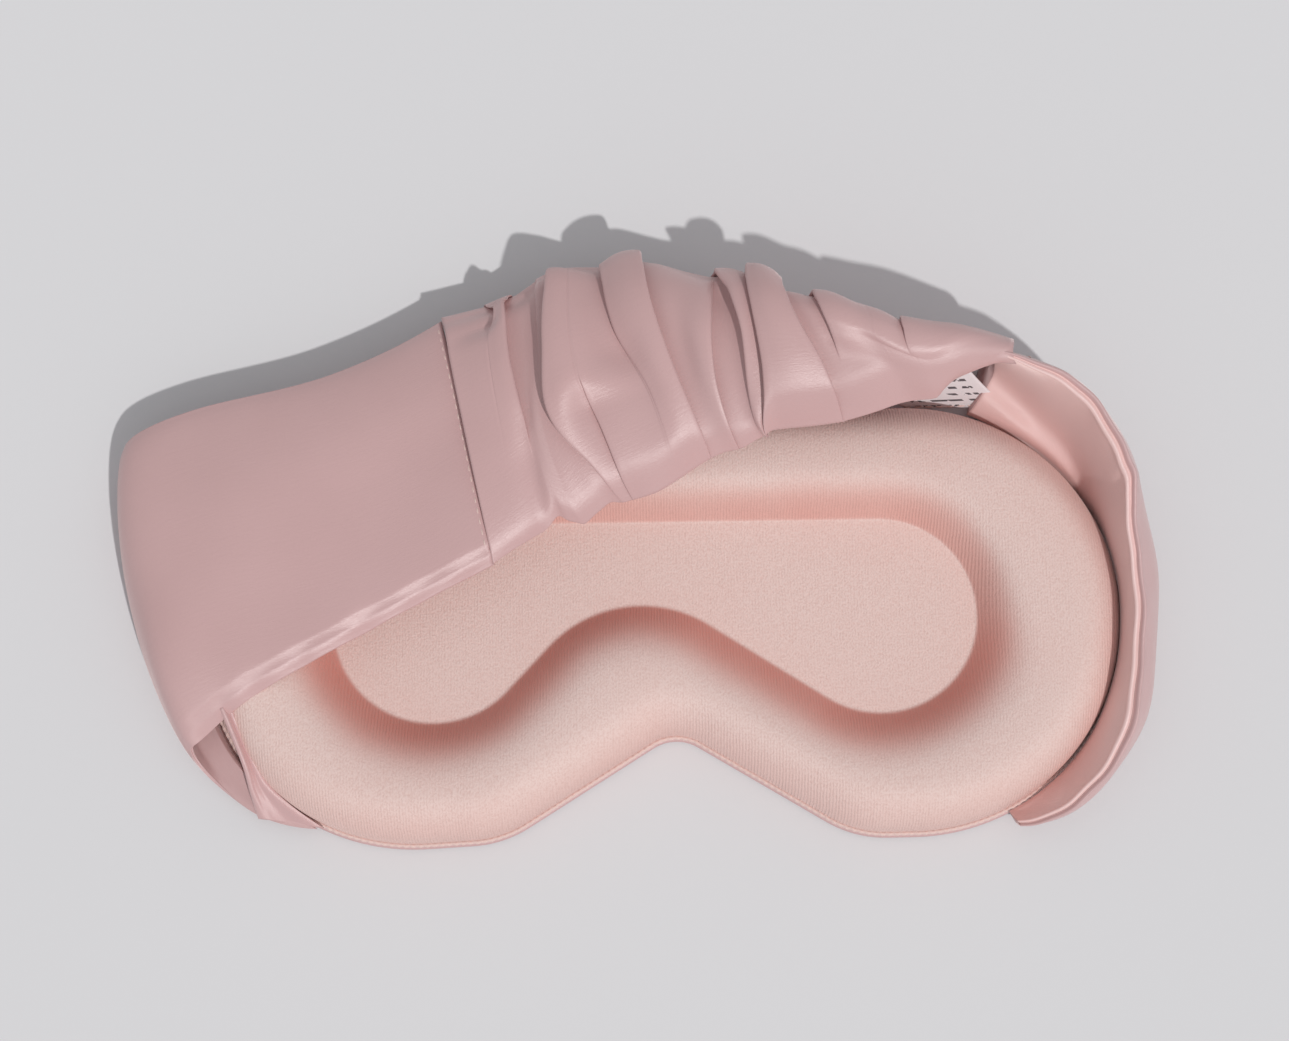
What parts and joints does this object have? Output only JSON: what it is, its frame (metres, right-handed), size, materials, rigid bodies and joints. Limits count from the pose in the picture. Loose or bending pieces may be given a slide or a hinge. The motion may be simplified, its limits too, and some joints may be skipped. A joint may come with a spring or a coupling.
{
  "type": "sleep eye mask",
  "caption": "Contoured foam sleep mask with a hollow for the eyes, a nose notch and a wide gathered satin head strap laid over its back.",
  "frame": {"origin": "middle of the mask's flat front face, the face that lies on the table", "axes": "+X from one temple to the other, +Y towards the forehead edge, +Z away from the table, out of the face side"},
  "size_m": [0.2487, 0.1395, 0.0386],
  "materials": {
    "satin": "satin",
    "jersey": "fine knit with vertical ribs",
    "foam": "soft closed foam",
    "elastic": "woven elastic",
    "thread": "matt polyester thread",
    "label_tape": "smooth white tape"
  },
  "bodies": {
    "mask": {"front_cover": "satin", "foam_core": "foam", "back_lining": "jersey", "perimeter_overlock": "thread", "care_label": "label_tape", "label_stitch": "thread", "left_panel_outer_ply": "satin", "left_panel_inner_ply": "satin", "left_panel_hem_seams": "satin", "right_panel_outer_ply": "satin", "right_panel_inner_ply": "satin", "right_panel_hem_seams": "satin", "left_root_seam": "thread", "left_gather_seam": "thread", "right_gather_seam": "thread", "right_root_seam": "thread"},
    "strap": {"sleeve_outer_ply": "satin", "sleeve_inner_ply": "satin", "sleeve_hem_seams": "satin", "elastic_band": "elastic", "elastic_tack_left": "thread", "elastic_tack_right": "thread"}
  },
  "joints": [
    {"name": "strap_swing", "type": "hinge", "parent": "mask", "child": "strap", "pos_m": [0, -0.008, 0.01], "axis": [1, 0, 0], "range_deg": [0, 35]}
  ]
}
